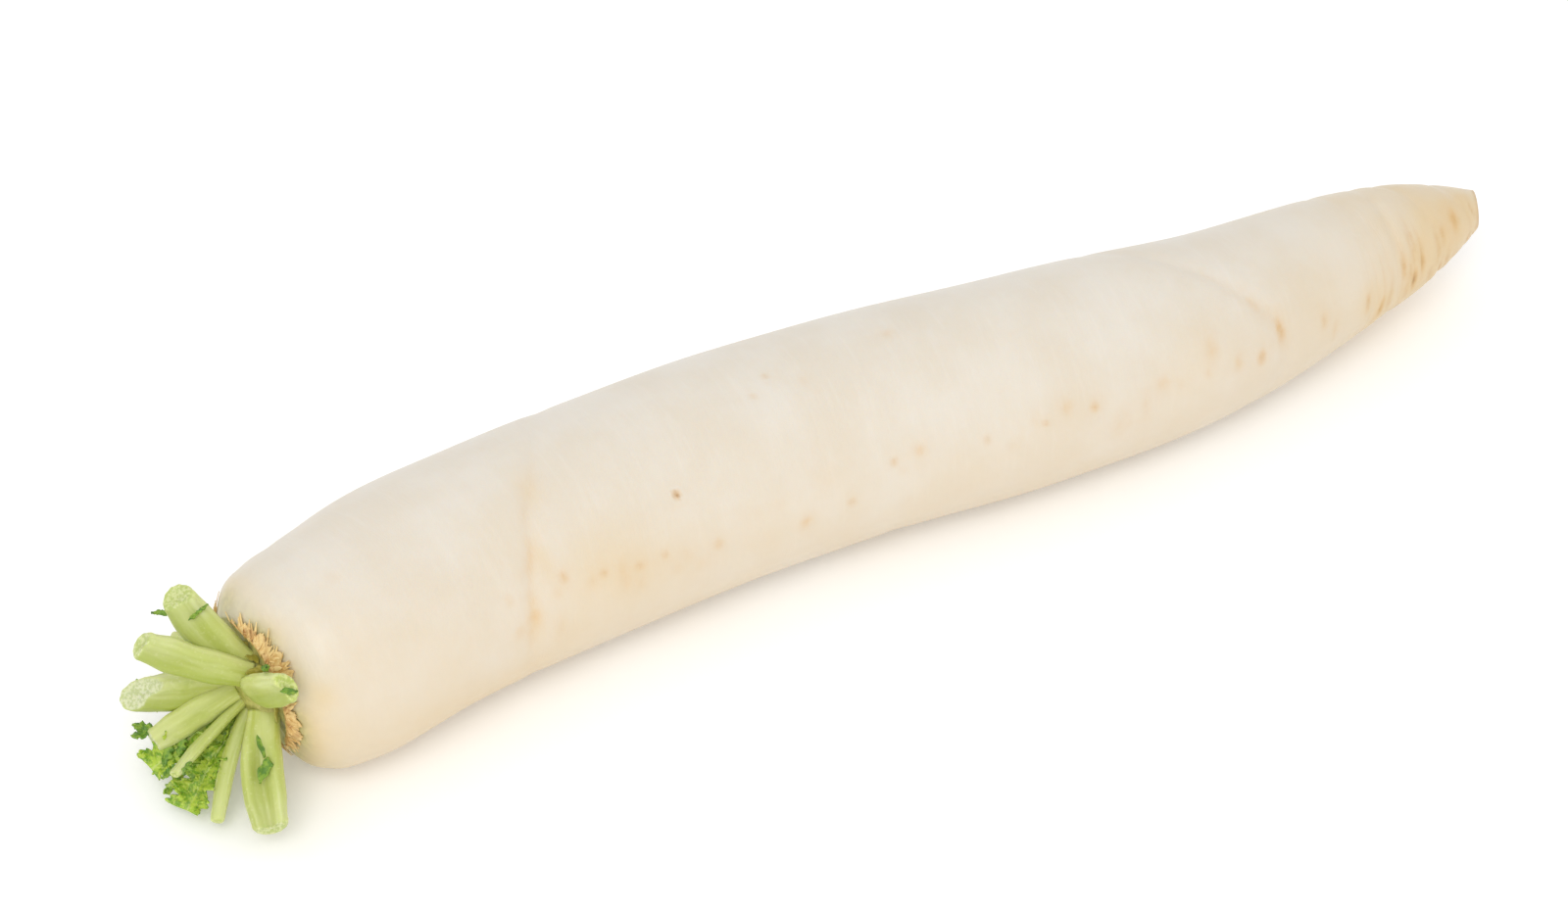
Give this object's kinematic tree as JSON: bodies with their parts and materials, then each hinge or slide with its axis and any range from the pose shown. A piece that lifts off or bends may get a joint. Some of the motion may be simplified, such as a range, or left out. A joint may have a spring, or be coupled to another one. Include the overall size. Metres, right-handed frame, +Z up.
{
  "type": "daikon radish",
  "caption": "Long white daikon radish root lying on its side, with a cut tip and leaf stalks cut short at the crown.",
  "frame": {"origin": "on the surface it lies on, under the middle of its box", "axes": "+X along the root from the leaf stalks to the cut tip, +Z up"},
  "size_m": [0.4126, 0.0712, 0.0604],
  "materials": {
    "radish_skin": "satin",
    "stalk_green": "satin",
    "leaf_green": "matte",
    "dry_leaf": "matte"
  },
  "bodies": {
    "root": {"root": "radish_skin", "leaf_stalk_01": "stalk_green", "leaf_stalk_02": "stalk_green", "leaf_stalk_03": "stalk_green", "leaf_stalk_04": "stalk_green", "leaf_stalk_05": "stalk_green", "leaf_stalk_06": "stalk_green", "leaf_stalk_07": "stalk_green", "leaf_stalk_08": "stalk_green", "leaf_stalk_09": "stalk_green", "leaf_stalk_10": "stalk_green", "leaf_stalk_11": "stalk_green", "young_leaf_1": "leaf_green", "young_leaf_2": "leaf_green", "young_leaf_3": "leaf_green", "dry_leaf_base_1": "dry_leaf", "dry_leaf_base_2": "dry_leaf", "dry_leaf_base_3": "dry_leaf", "dry_leaf_base_4": "dry_leaf"}
  },
  "joints": []
}
